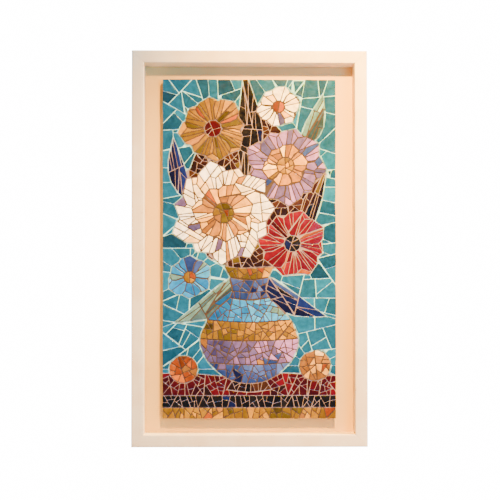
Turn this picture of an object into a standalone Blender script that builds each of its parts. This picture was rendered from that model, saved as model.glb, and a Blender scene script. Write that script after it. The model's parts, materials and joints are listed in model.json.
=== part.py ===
# Mosaic panel in a deep box frame: broken tiles laid in grout on a board that
# floats in front of a cream backing. Metres, +Z up, the picture faces -Y, and
# the origin is on the back of the top rail, where the panel meets the wall.

import math
import random

import bmesh
import bpy
from mathutils import Vector
from mathutils.geometry import delaunay_2d_cdt

# Mosaic and the clear space around it
MOSAIC_WIDTH = 0.3105
MOSAIC_HEIGHT = 0.609
SIDE_SPACE = 0.03275
END_SPACE = 0.0265
BOARD_THICKNESS = 0.012
BED_THICKNESS = 0.0025
TILE_RISE = 0.0012
GROUT_WIDTH = 0.0020

# Frame moulding, and how far its lip stands forward of the tiles
FRAME_FACE = 0.022
LIP_SPACE = 0.0187
FRAME_ROUND = 0.0016
ROUND_STEPS = 3
REBATE_WIDTH = 0.008

# Backing board, its play in the rebate and its depth behind the frame's back
BACKING_THICKNESS = 0.003
BACKING_PLAY = 0.001
BACKING_RECESS = 0.002

# Gap kept between neighbouring pieces
PIECE_GAP = 0.0003

# Mean size of the shards, and how long the slender ones are for their width.
# The least sizes of a tile and of an island of tiles, and how far a tile's
# side may cut off a point that sticks out, or fill in one that is sunk.
GROUND_SHARD = 0.0320
FIGURE_SHARD = 0.0320
SLENDER = 3.0
SMALLEST_TILE = 0.0050
SMALLEST_ISLAND = 0.0100
PROUD_LIMIT = 0.0016
SUNK_LIMIT = 0.0006
MERGE = 1e-6

# How often a shard whose shape holds no tile is broken again
SECOND_CUTS = 3

# How evenly shards break: their areas, the place of a cut and its turn
AREA_SPREAD = (0.95, 1.75)
CUT_PLACE = (0.42, 0.58)
TURN_ACROSS = 0.38
TURN_ALONG = 0.16

# The picture is drawn on a grid this wide and high, stretched over the mosaic
GRID_WIDTH = 100.0
GRID_HEIGHT = 200.0
OVERHANG = 4.0
VASE_FOOT = 17.0
VASE_BASE = 22.0
VASE_NECK = 72.0
VASE_LIP = 90.0

# Worked-out sizes
OPENING_WIDTH = MOSAIC_WIDTH + 2 * SIDE_SPACE
OPENING_HEIGHT = MOSAIC_HEIGHT + 2 * END_SPACE
FRAME_WIDTH = OPENING_WIDTH + 2 * FRAME_FACE
FRAME_HEIGHT = OPENING_HEIGHT + 2 * FRAME_FACE
TOP_Z = (FRAME_FACE - REBATE_WIDTH) / 2
CENTRE_Z = TOP_Z - FRAME_HEIGHT / 2
BACKING_FRONT = -(BACKING_RECESS + BACKING_THICKNESS)
REBATE_DEPTH = PIECE_GAP - BACKING_FRONT
BOARD_FRONT = BACKING_FRONT - PIECE_GAP - BOARD_THICKNESS
BED_BACK = BOARD_FRONT - PIECE_GAP
FRAME_DEPTH = LIP_SPACE + TILE_RISE + BED_THICKNESS - BED_BACK

# Kinds of result from the cutting of outlines: triangles, or whole faces
TRIANGLES = 1
WHOLE_FACES = 4

COLOURS = {
    "frame": (0.86, 0.80, 0.70),
    "backing": (0.88, 0.70, 0.50),
    "board": (0.45, 0.33, 0.22),
    "teal": (0.10, 0.30, 0.30),
    "cream": (0.80, 0.70, 0.55),
    "peach": (0.78, 0.48, 0.30),
    "ochre": (0.62, 0.38, 0.10),
    "orange": (0.75, 0.24, 0.06),
    "red": (0.50, 0.04, 0.03),
    "dark_red": (0.22, 0.02, 0.02),
    "lilac": (0.60, 0.38, 0.45),
    "brown": (0.16, 0.09, 0.05),
    "black": (0.03, 0.03, 0.03),
    "light_blue": (0.35, 0.50, 0.58),
    "slate": (0.16, 0.22, 0.32),
    "navy": (0.03, 0.05, 0.14),
    "grey_green": (0.22, 0.28, 0.22),
}


def clear_scene():
    for item in list(bpy.data.objects):
        bpy.data.objects.remove(item, do_unlink=True)


def new_collection(name):
    collection = bpy.data.collections.new(name)
    bpy.context.scene.collection.children.link(collection)
    return collection


def new_material(name, colour, roughness):
    material = bpy.data.materials.new(name)
    material.use_nodes = True
    shader = material.node_tree.nodes["Principled BSDF"]
    shader.inputs["Base Color"].default_value = (*colour, 1.0)
    shader.inputs["Roughness"].default_value = roughness
    shader.inputs["Metallic"].default_value = 0.0
    return material


def new_object(name, bm, collection, material, location=(0, 0, 0), turn=0.0):
    mesh = bpy.data.meshes.new(name)
    bm.to_mesh(mesh)
    bm.free()
    mesh.materials.append(material)
    item = bpy.data.objects.new(name, mesh)
    item.location = location
    item.rotation_euler = (0.0, turn, 0.0)
    collection.objects.link(item)
    return item


# Frame

def moulding(length):
    # One mitred length: it runs along X, its outer side is at Z = 0 and it
    # grows inward along -Z, from the wall at Y = 0 to the lip at -FRAME_DEPTH.
    bm = bmesh.new()
    profile = [
        (0.0, 0.0),
        (0.0, -FRAME_DEPTH),
        (FRAME_FACE, -FRAME_DEPTH),
        (FRAME_FACE, -REBATE_DEPTH),
        (FRAME_FACE - REBATE_WIDTH, -REBATE_DEPTH),
        (FRAME_FACE - REBATE_WIDTH, 0.0),
    ]
    corners = [bm.verts.new((0.0, y, -inward)) for inward, y in profile]
    bm.faces.new(corners)
    lip_corners = corners[1:3]
    bmesh.ops.bevel(bm, geom=lip_corners, offset=FRAME_ROUND, segments=ROUND_STEPS,
                    profile=0.5, affect="VERTICES")
    section = bm.faces[:]
    grown = bmesh.ops.extrude_face_region(bm, geom=section, use_keep_orig=True)
    far_end = {v for v in grown["geom"] if isinstance(v, bmesh.types.BMVert)}
    mitre_gap = PIECE_GAP / math.sqrt(2)
    for vert in bm.verts:
        side = 1 if vert in far_end else -1
        vert.co.x = side * (length / 2 + vert.co.z - mitre_gap)
    bmesh.ops.recalc_face_normals(bm, faces=bm.faces[:])
    return bm


def make_frame(collection):
    paint = new_material("cream painted wood", COLOURS["frame"], 0.45)
    lengths = {
        "frame_top_rail": (FRAME_WIDTH, (0.0, 0.0, TOP_Z), 0.0),
        "frame_bottom_rail": (FRAME_WIDTH, (0.0, 0.0, TOP_Z - FRAME_HEIGHT), math.pi),
        "frame_left_stile": (FRAME_HEIGHT, (-FRAME_WIDTH / 2, 0.0, CENTRE_Z), -math.pi / 2),
        "frame_right_stile": (FRAME_HEIGHT, (FRAME_WIDTH / 2, 0.0, CENTRE_Z), math.pi / 2),
    }
    for name, (length, place, turn) in lengths.items():
        new_object(name, moulding(length), collection, paint, place, turn)


# Boards

def make_board(name, size, location, colour, collection):
    bm = bmesh.new()
    bmesh.ops.create_cube(bm, size=1.0)
    bmesh.ops.scale(bm, vec=size, verts=bm.verts)
    material = new_material(name.replace("_", " "), colour, 0.7)
    new_object(name, bm, collection, material, location)


def make_boards(collection):
    reach = 2 * (REBATE_WIDTH - BACKING_PLAY)
    make_board("backing_board",
               (OPENING_WIDTH + reach, BACKING_THICKNESS, OPENING_HEIGHT + reach),
               (0.0, BACKING_FRONT + BACKING_THICKNESS / 2, CENTRE_Z),
               COLOURS["backing"], collection)
    make_board("mosaic_board",
               (MOSAIC_WIDTH, BOARD_THICKNESS, MOSAIC_HEIGHT),
               (0.0, BOARD_FRONT + BOARD_THICKNESS / 2, CENTRE_Z),
               COLOURS["board"], collection)


# Outlines of the picture, in grid units from the mosaic's lower left corner

def ellipse(centre, across, up, count):
    turns = [2 * math.pi * i / count for i in range(count)]
    return [Vector((centre[0] + across * math.cos(a), centre[1] + up * math.sin(a)))
            for a in turns]


def leaf(base, tip, width, bend, belly=0.8, bluntness=1.0, count=6):
    # A leaf or petal from base to tip, bowed sideways by bend. A higher belly
    # is widest nearer the tip, and a lower bluntness rounds both ends.
    base, tip = Vector(base), Vector(tip)
    along = tip - base
    across = Vector((-along.y, along.x)).normalized()
    left, right = [], []
    for i in range(count + 1):
        t = i / count
        half = width / 2 * math.sin(math.pi * t ** belly) ** bluntness
        middle = base + along * t + across * bend * math.sin(math.pi * t)
        if 0 < i < count:
            left.append(middle + across * half)
            right.append(middle - across * half)
    return [base] + right + [tip] + left[::-1]


def petals(centre, reach, width, count, phase, start=0.1):
    # A ring of petals of uneven length that lap over each other. The last one
    # laps under both of its neighbours.
    ring = []
    for i in range(count):
        turn = 2 * math.pi * i / count + phase
        ray = Vector((math.cos(turn), math.sin(turn)))
        length = reach * (1 + 0.07 * math.sin(2.4 * i + phase))
        bend = 0.05 * reach
        ring.append(leaf(Vector(centre) + ray * reach * start, Vector(centre) + ray * length,
                         width, bend, belly=1.45, bluntness=0.75, count=5))
    return ring


def vase_half_width(v):
    # The foot tapers up to the belly, which swells and closes to the neck, and
    # the neck flares to the lip.
    foot, waist, neck, belly, lip = 13.0, 10.0, 9.5, 19.0, 15.0
    if v <= VASE_BASE:
        return foot + (waist - foot) * (v - VASE_FOOT) / (VASE_BASE - VASE_FOOT)
    if v <= VASE_NECK:
        t = (v - VASE_BASE) / (VASE_NECK - VASE_BASE)
        return waist + (neck - waist) * t + belly * math.sin(math.pi * t ** 0.92) ** 0.85
    t = (v - VASE_NECK) / (VASE_LIP - VASE_NECK)
    return neck + (lip - neck) * t ** 2.2


def vase_band(low, high, axis=50.0, sag=1.6, steps=6):
    # A band of the vase between two heights. Its lower and upper edges sag at
    # the middle, because the vase is seen from a little above.
    def level(v):
        half = vase_half_width(v)
        shares = [2 * i / steps - 1 for i in range(steps + 1)]
        return [Vector((axis + half * s, v - sag * (1 - s * s))) for s in shares]

    side_steps = 3
    heights = [low + (high - low) * i / side_steps for i in range(1, side_steps)]
    right = [Vector((axis + vase_half_width(v), v)) for v in heights]
    left = [Vector((axis - vase_half_width(v), v)) for v in heights[::-1]]
    return level(low) + right + level(high)[::-1] + left


def cloth_band(low, high, wave, steps=8):
    # A strip of the tablecloth, with a wavy upper edge, past both sides.
    left, right = -OVERHANG, GRID_WIDTH + OVERHANG
    spread = [left + (right - left) * i / steps for i in range(steps + 1)]
    top = [Vector((u, high + wave * math.sin(0.11 * u + 0.6))) for u in spread]
    return [Vector((left, low)), Vector((right, low))] + top[::-1]


def ground(left, right, seams=()):
    # A strip of the ground from below the panel to above it. A seam, given by
    # its heights at both sides, parts it behind a bloom that lies all within it.
    low, high = -OVERHANG, GRID_HEIGHT + OVERHANG
    levels = [(low, low), *seams, (high, high)]
    return [[Vector((left, a)), Vector((right, b)), Vector((right, d)), Vector((left, c))]
            for (a, b), (c, d) in zip(levels, levels[1:])]


def foliage(centre=(50.0, 132.0), across=35.0, up=47.0, count=22):
    # The dark mass of leaves that fills the bunch behind the blooms.
    outline = []
    for i in range(count):
        turn = 2 * math.pi * i / count
        swell = 1 + 0.05 * math.sin(5 * turn + 0.4)
        outline.append(Vector((centre[0] + across * swell * math.cos(turn),
                               centre[1] + up * swell * math.sin(turn))))
    return outline


def bloom(name, centre, heart, rings, heart_colour):
    # A round heart over rings of petals, the inner ring lapping over the outer.
    fields = [(name + "_heart", [ellipse(centre, heart, heart, 10)], heart_colour, 1.0)]
    for i, (reach, width, count, phase, colour) in enumerate(rings):
        title = name + ("_petals" if len(rings) == 1 else ("_inner_petals", "_outer_petals")[i])
        fields.append((title, petals(centre, reach, width, count, phase), colour, SLENDER))
    return fields


def picture():
    # Fields from the front to the back: name, outlines, colour and how slender
    # their shards are. A vase of flowers stands on a striped cloth.
    fields = []
    fields += bloom("cream_bloom", (35.0, 121.0), 6.2,
                    [(17.5, 14.0, 7, 0.3, "peach"), (30.0, 19.0, 11, 0.1, "cream")], "ochre")
    fields += bloom("red_bloom", (75.0, 103.0), 5.0,
                    [(20.0, 16.5, 8, 0.5, "red")], "black")
    fields += bloom("lilac_bloom", (71.0, 149.0), 5.2,
                    [(13.0, 12.0, 6, 0.2, "peach"), (23.0, 17.0, 9, 0.6, "lilac")], "ochre")
    fields += bloom("ochre_bloom", (29.0, 171.0), 5.0,
                    [(19.5, 16.0, 8, 0.9, "ochre")], "dark_red")
    fields += bloom("white_bloom", (67.0, 184.0), 3.6,
                    [(12.5, 12.0, 6, 0.2, "cream")], "orange")
    fields += bloom("blue_bloom", (15.5, 83.0), 3.6,
                    [(13.0, 12.4, 6, 0.5, "light_blue")], "ochre")
    low = VASE_FOOT
    for name, high, colour in [("foot", VASE_BASE, "brown"), ("base", 33.0, "slate"),
                               ("belly", 47.0, "lilac"), ("band", 58.0, "ochre"),
                               ("shoulder", 71.0, "light_blue"), ("neck", 83.0, "slate"),
                               ("lip", VASE_LIP, "ochre")]:
        fields.append(("vase_" + name, [vase_band(low, high)], colour, 1.0))
        low = high
    cloth_hem, cloth_stripe, cloth_top = 6.5, 13.5, 26.0
    split = 48.0
    fields += [
        ("leaf_lower_left", [leaf((45, 85), (6, 56), 14.0, 5.0)], "grey_green", SLENDER),
        ("leaf_lower_right", [leaf((56, 85), (95, 60), 14.0, -5.0)], "navy", SLENDER),
        ("leaf_top", [leaf((50, 133), (47, 207), 15.0, -2.0)], "black", SLENDER),
        ("leaf_right", [leaf((82, 108), (95, 146), 11.0, 2.0)], "brown", SLENDER),
        ("leaf_left", [leaf((14, 128), (6, 166), 10.5, 2.0)], "navy", SLENDER),
        ("leaf_upper_right", [leaf((80, 158), (93, 192), 11.0, -2.0)], "grey_green", SLENDER),
        ("foliage", [foliage()], "brown", 1.3),
        ("peach_fruit", [ellipse((88.0, 31.0), 9.5, 9.2, 14)], "peach", 1.0),
        ("orange_fruit", [ellipse((12.0, 29.0), 8.6, 8.4, 14)], "orange", 1.0),
        ("cloth_red", [cloth_band(cloth_stripe, cloth_top, 1.2)], "dark_red", 1.0),
        ("cloth_dark", [cloth_band(cloth_hem, cloth_stripe, 0.0)], "black", 1.0),
        ("cloth_border", [cloth_band(-OVERHANG, cloth_hem, 0.0)], "ochre", 1.0),
        ("ground_left", ground(-OVERHANG, split, [(87.0, 80.0)]), "teal", 1.0),
        ("ground_right", ground(split, GRID_WIDTH + OVERHANG), "teal", 1.0),
    ]
    return fields


# Cutting the picture into shards

def on_mosaic(point):
    # A grid point as a place on the mosaic's face, from its middle.
    return Vector(((point.x / GRID_WIDTH - 0.5) * MOSAIC_WIDTH,
                   (point.y / GRID_HEIGHT - 0.5) * MOSAIC_HEIGHT))


def area_of(outline):
    doubled = 0.0
    for a, b in zip(outline, outline[1:] + outline[:1]):
        doubled += a.x * b.y - b.x * a.y
    return doubled / 2


def facing_front(outline):
    return outline if area_of(outline) > 0 else outline[::-1]


def overlay(outlines, output):
    # Cuts outlines by each other. Gives the points, the faces and, for each
    # face, the numbers of the outlines that cover it.
    points, faces = [], []
    for outline in outlines:
        faces.append(list(range(len(points), len(points) + len(outline))))
        points.extend(outline)
    points, _, faces, _, _, covers = delaunay_2d_cdt(points, [], faces, output, MERGE)
    return points, faces, covers


def visible(outline, above, panel):
    # The stretches of an outline inside the panel that nothing above covers.
    points, faces, covers = overlay([outline, panel] + above, WHOLE_FACES)
    return [[points[i] for i in face] for face, cover in zip(faces, covers)
            if sorted(cover) == [0, 1]]


def long_axis(outline):
    # Direction of the outline's greatest spread, and its size along and across.
    middle = sum(outline, Vector((0, 0))) / len(outline)
    xx = sum((p.x - middle.x) ** 2 for p in outline)
    yy = sum((p.y - middle.y) ** 2 for p in outline)
    xy = sum((p.x - middle.x) * (p.y - middle.y) for p in outline)
    turn = 0.5 * math.atan2(2 * xy, xx - yy)
    along = Vector((math.cos(turn), math.sin(turn)))
    across = Vector((-along.y, along.x))
    spans = []
    for axis in (along, across):
        reach = [p.dot(axis) for p in outline]
        spans.append((min(reach), max(reach)))
    return along, across, spans


def cut(outline, place, direction):
    # Cuts an outline along a line through a place.
    far = direction * (MOSAIC_WIDTH + MOSAIC_HEIGHT)
    count = len(outline)
    points = outline + [place - far, place + far]
    points, _, faces, _, _, covers = delaunay_2d_cdt(
        points, [(count, count + 1)], [list(range(count))], WHOLE_FACES, MERGE)
    return [[points[i] for i in face] for face, cover in zip(faces, covers) if cover]


def turned(direction, turn):
    return Vector((direction.x * math.cos(turn) - direction.y * math.sin(turn),
                   direction.x * math.sin(turn) + direction.y * math.cos(turn)))


def halves(outline, slender, chance):
    # Cuts an outline near its middle: across a long one, or along it while it is
    # less slender than wanted.
    along, across, spans = long_axis(outline)
    lengths = [high - low for low, high in spans]
    middles = [(low + high) / 2 for low, high in spans]
    share = chance.uniform(*CUT_PLACE) - 0.5
    if slender <= 1.0 or lengths[0] > slender * lengths[1]:
        middles[0] += lengths[0] * share
        direction = turned(across, chance.uniform(-TURN_ACROSS, TURN_ACROSS))
    else:
        middles[1] += lengths[1] * share
        direction = turned(along, chance.uniform(-TURN_ALONG, TURN_ALONG))
    return cut(outline, along * middles[0] + across * middles[1], direction)


def shatter(outline, size, slender, chance):
    # Breaks an outline into shards of about the given size.
    if area_of(outline) < size * size * chance.uniform(*AREA_SPREAD):
        return [outline]
    pieces = halves(outline, slender, chance)
    if len(pieces) < 2:
        return [outline]
    shards = []
    for piece in pieces:
        shards += shatter(piece, size, slender, chance)
    return shards


def straighten(outline):
    # Leaves out each point that is nearly on the line between its neighbours.
    # A point that sticks out may lie further off it than one that is sunk in,
    # because the line must not reach past the shard.
    kept = list(outline)
    i = 0
    unchanged = 0
    while unchanged < len(kept) and len(kept) > 3:
        i %= len(kept)
        before, here, after = kept[i - 1], kept[i], kept[(i + 1) % len(kept)]
        chord = after - before
        rise = here - before
        height = (chord.y * rise.x - chord.x * rise.y) / max(chord.length, MERGE)
        if -SUNK_LIMIT < height < PROUD_LIMIT:
            del kept[i]
            unchanged = 0
        else:
            i += 1
            unchanged += 1
    return kept


def crossing(point, direction, other, other_direction):
    turn = direction.x * other_direction.y - direction.y * other_direction.x
    if abs(turn) < 1e-9:
        return None
    gap = other - point
    return point + direction * ((gap.x * other_direction.y - gap.y * other_direction.x) / turn)


def drawn_in(outline, distance):
    # Moves each side inward by a distance. A side that shrinks to nothing
    # drops out, and so does the whole outline.
    sides = []
    for a, b in zip(outline, outline[1:] + outline[:1]):
        direction = (b - a).normalized()
        inward = Vector((-direction.y, direction.x))
        sides.append((a + inward * distance, direction))
    while len(sides) >= 3:
        count = len(sides)
        corners = [crossing(*sides[i - 1], *sides[i]) for i in range(count)]
        if None in corners:
            del sides[corners.index(None)]
            continue
        lengths = [(corners[(i + 1) % count] - corners[i]).dot(sides[i][1]) for i in range(count)]
        if min(lengths) > 0:
            return corners
        del sides[lengths.index(min(lengths))]
    return None


def tile_on(shard):
    # The face of the tile in a shard, half a grout line in from the shard's
    # sides, or None where the shard is too small to hold a tile.
    outline = drawn_in(straighten(shard), GROUT_WIDTH / 2)
    if outline is None:
        return None
    outline = straighten(outline)
    if area_of(outline) < SMALLEST_TILE * SMALLEST_TILE:
        return None
    if not all(inside(point, shard) for point in outline):
        return None
    return outline


def tiles_on(shard, chance, cuts=SECOND_CUTS):
    # The tiles on a shard. One whose shape holds no tile is broken again.
    tile = tile_on(shard)
    if tile:
        return [tile]
    if cuts == 0 or area_of(shard) < SMALLEST_TILE * SMALLEST_TILE:
        return []
    tiles = []
    for piece in halves(shard, 1.0, chance):
        tiles += tiles_on(piece, chance, cuts - 1)
    return tiles


def inside(point, outline):
    hit = False
    for a, b in zip(outline, outline[1:] + outline[:1]):
        if (a.y > point.y) != (b.y > point.y):
            if point.x < a.x + (point.y - a.y) / (b.y - a.y) * (b.x - a.x):
                hit = not hit
    return hit


# Building the fields of tiles

def loops_of(faces):
    # The closed runs of corners around faces that join edge to edge.
    steps = {}
    sides = {(a, b) for face in faces for a, b in zip(face, face[1:] + face[:1])}
    for a, b in sorted(sides):
        if (b, a) not in sides:
            steps.setdefault(a, []).append(b)
    loops = []
    while steps:
        start = here = min(steps)
        loop = []
        while True:
            loop.append(here)
            after = steps[here].pop()
            if not steps[here]:
                del steps[here]
            here = after
            if here == start:
                break
        loops.append(loop)
    return loops


def islands(outlines, panel, above):
    # Where a field shows: for each island its outer loop and those of its holes,
    # the highest island first. A chink between two outlines stays bare.
    points, faces, covers = overlay(outlines + [panel] + above, TRIANGLES)
    edge = len(outlines)
    shown = [face for face, cover in zip(faces, covers)
             if edge in cover and min(cover) < edge and max(cover) == edge]
    loops = [[points[i] for i in loop] for loop in loops_of(shown)]
    outer = [loop for loop in loops if area_of(loop) > SMALLEST_ISLAND ** 2]
    holes = [loop[::-1] for loop in loops if area_of(loop) < 0]
    outer.sort(key=lambda loop: -max(point.y for point in loop))
    return [(loop, [hole for hole in holes if inside(hole[0], loop)]) for loop in outer]


def tile_sheet(loop, holes, tiles):
    # A flat sheet of one island at the level of the grout. Its faces carry a
    # mark where a tile stands on them.
    points, faces, covers = overlay([loop] + holes + tiles, TRIANGLES)
    bm = bmesh.new()
    mark = bm.faces.layers.int.new("tile")
    verts = [bm.verts.new((point.x, -BED_THICKNESS, point.y)) for point in points]
    first_tile = 1 + len(holes)
    for corners, cover in zip(faces, covers):
        if 0 in cover and not any(0 < i < first_tile for i in cover):
            face = bm.faces.new([verts[i] for i in corners])
            face[mark] = 1 if max(cover) >= first_tile else 0
    loose = [v for v in bm.verts if not v.link_faces]
    bmesh.ops.delete(bm, geom=loose, context="VERTS")
    return bm, mark


def raised_field(loop, holes, tiles):
    # The solid of one island: its outline is drawn in by half the gap to its
    # neighbours, the tiles rise from it and the back is closed.
    bm, mark = tile_sheet(loop, holes, tiles)
    rim = bmesh.ops.inset_region(bm, faces=bm.faces[:], thickness=PIECE_GAP / 2,
                                 use_boundary=True, use_even_offset=True)
    bmesh.ops.delete(bm, geom=rim["faces"], context="FACES")
    marked = [face for face in bm.faces if face[mark]]
    border = [edge for edge in bm.edges if len(edge.link_faces) == 1]
    grown = bmesh.ops.extrude_face_region(bm, geom=marked, use_keep_orig=True)
    bmesh.ops.delete(bm, geom=marked, context="FACES_KEEP_BOUNDARY")
    tops = [v for v in grown["geom"] if isinstance(v, bmesh.types.BMVert)]
    bmesh.ops.translate(bm, vec=(0.0, -TILE_RISE, 0.0), verts=tops)
    sides = bmesh.ops.extrude_edge_only(bm, edges=border)
    backs = [v for v in sides["geom"] if isinstance(v, bmesh.types.BMVert)]
    bmesh.ops.translate(bm, vec=(0.0, BED_THICKNESS, 0.0), verts=backs)
    back_edges = [e for e in sides["geom"] if isinstance(e, bmesh.types.BMEdge)
                  and len(e.link_faces) == 1]
    bmesh.ops.triangle_fill(bm, edges=back_edges, use_beauty=True)
    bmesh.ops.recalc_face_normals(bm, faces=bm.faces[:])
    return bm


def make_fields(collection):
    corners = [(0.0, 0.0), (GRID_WIDTH, 0.0), (GRID_WIDTH, GRID_HEIGHT), (0.0, GRID_HEIGHT)]
    panel = [on_mosaic(Vector(corner)) for corner in corners]
    above = []
    for name, outlines, colour, slender in picture():
        size = GROUND_SHARD if colour == "teal" else FIGURE_SHARD
        chance = random.Random(name)
        outlines = [facing_front([on_mosaic(point) for point in outline]) for outline in outlines]
        tiles = []
        for i, outline in enumerate(outlines):
            for region in visible(outline, outlines[:i] + above, panel):
                shards = shatter(region, size, slender, chance)
                for shard in shards:
                    tiles += tiles_on(shard, chance)
        material = new_material(name.replace("_", " ") + " tiles", COLOURS[colour], 0.3)
        shown = islands(outlines, panel, above)
        for i, (loop, holes) in enumerate(shown):
            title = name + "_tiles" + (f"_{i + 1}" if len(shown) > 1 else "")
            own = [tile for tile in tiles if inside(tile[0], loop)]
            new_object(title, raised_field(loop, holes, own), collection, material,
                       (0.0, BED_BACK, CENTRE_Z))
        above = outlines + above


def main():
    clear_scene()
    collection = new_collection("mosaic_panel")
    make_frame(collection)
    make_boards(collection)
    make_fields(collection)


main()
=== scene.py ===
import json
import math
import random

import bmesh
import bpy
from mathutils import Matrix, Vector, kdtree, noise
from mathutils.geometry import delaunay_2d_cdt, intersect_line_line_2d


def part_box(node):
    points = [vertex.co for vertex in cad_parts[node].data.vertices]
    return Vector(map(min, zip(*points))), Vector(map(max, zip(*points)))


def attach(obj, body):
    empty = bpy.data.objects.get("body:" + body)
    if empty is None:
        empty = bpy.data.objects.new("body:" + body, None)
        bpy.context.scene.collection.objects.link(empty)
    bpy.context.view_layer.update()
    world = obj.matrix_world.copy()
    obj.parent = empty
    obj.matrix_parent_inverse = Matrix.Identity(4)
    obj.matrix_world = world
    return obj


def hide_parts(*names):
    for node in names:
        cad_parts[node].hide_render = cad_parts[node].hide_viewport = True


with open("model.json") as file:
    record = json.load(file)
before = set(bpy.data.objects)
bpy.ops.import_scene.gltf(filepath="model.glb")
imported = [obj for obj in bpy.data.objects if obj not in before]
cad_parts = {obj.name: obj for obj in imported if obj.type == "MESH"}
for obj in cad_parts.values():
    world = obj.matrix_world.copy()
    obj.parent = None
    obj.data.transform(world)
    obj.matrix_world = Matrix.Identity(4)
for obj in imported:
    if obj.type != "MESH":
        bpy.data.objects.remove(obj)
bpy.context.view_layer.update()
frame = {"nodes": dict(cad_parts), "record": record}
nodes = frame["nodes"]
slotOf = {part["node"]: part["material_slot"] for part in frame["record"]["subparts"]}
print("frame loaded with", len(nodes), "nodes")


# Places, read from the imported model. The picture faces -Y.

boxOf = {name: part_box(name) for name in nodes}
frontY = boxOf["frame_top_rail"][0].y
topZ = boxOf["frame_top_rail"][1].z
bottomZ = boxOf["frame_bottom_rail"][0].z
sideX = boxOf["frame_right_stile"][1].x
faceWidth = topZ - boxOf["frame_top_rail"][0].z
middleZ = (topZ + bottomZ) / 2
boardLow, boardHigh = boxOf["mosaic_board"]
tileNodes = sorted(name for name in nodes if "_tiles" in name)
tileTopY = min(boxOf[name][0].y for name in tileNodes)


# Camera first, then the materials and the pieces

view = {
    "distance": 1.72,           # lens to the front of the frame
    "across": 0.888,            # width in view at the front of the frame
    "sensor": 36.0,
    "shift": (0.030, 0.050),    # the lens stands a little left and low of the middle
    "yaw": 0.9,                 # degrees to the right
    "pitch": 1.0,               # degrees up
    "below": 0.0034,            # the frame sits this much above the middle of the picture
    "beside": 0.0006,           # and this much to the left of it
}


def placeCamera():
    data = bpy.data.cameras.new("camera")
    data.sensor_width = view["sensor"]
    data.lens = view["sensor"] * view["distance"] / view["across"]
    data.shift_x, data.shift_y = view["shift"]
    data.clip_start = 0.05
    camera = bpy.data.objects.new("camera", data)
    bpy.context.scene.collection.objects.link(camera)
    yaw = math.radians(view["yaw"])
    pitch = math.radians(view["pitch"])
    left = view["shift"][0] * view["across"] + math.tan(yaw) * view["distance"]
    low = view["shift"][1] * view["across"] + math.tan(pitch) * view["distance"] + view["below"]
    camera.location = (view["beside"] - left, frontY - view["distance"], middleZ - low)
    camera.rotation_euler = (math.pi / 2 + pitch, 0, -yaw)
    bpy.context.scene.camera = camera


placeCamera()
print("camera placed")


def hexToLinear(code):
    # the shader wants linear light, and hex is sRGB
    parts = [int(code[i:i + 2], 16) / 255 for i in (1, 3, 5)]
    return [p / 12.92 if p <= 0.04045 else ((p + 0.055) / 1.055) ** 2.4 for p in parts]


def rgba(code):
    return (*hexToLinear(code), 1.0)


def addNode(material, kind, values=None, links=None, **settings):
    # one node with its settings, its constants and what is plugged into it
    node = material.node_tree.nodes.new(kind)
    for name, value in settings.items():
        setattr(node, name, value)
    for name, value in (values or {}).items():
        node.inputs[name].default_value = value
    for name, socket in (links or {}).items():
        material.node_tree.links.new(socket, node.inputs[name])
    return node


def newMaterial(name, roughness, ior):
    material = bpy.data.materials.new(name)
    material.use_nodes = True
    shader = material.node_tree.nodes["Principled BSDF"]
    shader.inputs["Roughness"].default_value = roughness
    shader.inputs["IOR"].default_value = ior
    return material, shader


def perMetre(millimetres):
    # a noise scale whose blotches are about this wide
    return 1000 / millimetres


def plug(material, socket, shader, name):
    material.node_tree.links.new(socket, shader.inputs[name])


# Materials

glaze = {
    "roughness": (0.10, 0.22),      # well fired, duller where it ran thin
    "ior": 1.46,
    "specular": 0.36,               # a lead-free glaze shines a little less than glass
    "streak": 20.0,                 # mm, brushed drifts of thicker glaze
    "mottle": 7.0,                  # mm, clouds in the glaze
    "speck": 1.6,                   # mm, pinholes and specks, drawn coarse enough to show
    "wave": 5.0,                    # mm, ripples left by the kiln
    "light": 1.10,
    "dark": 0.86,
}


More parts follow.
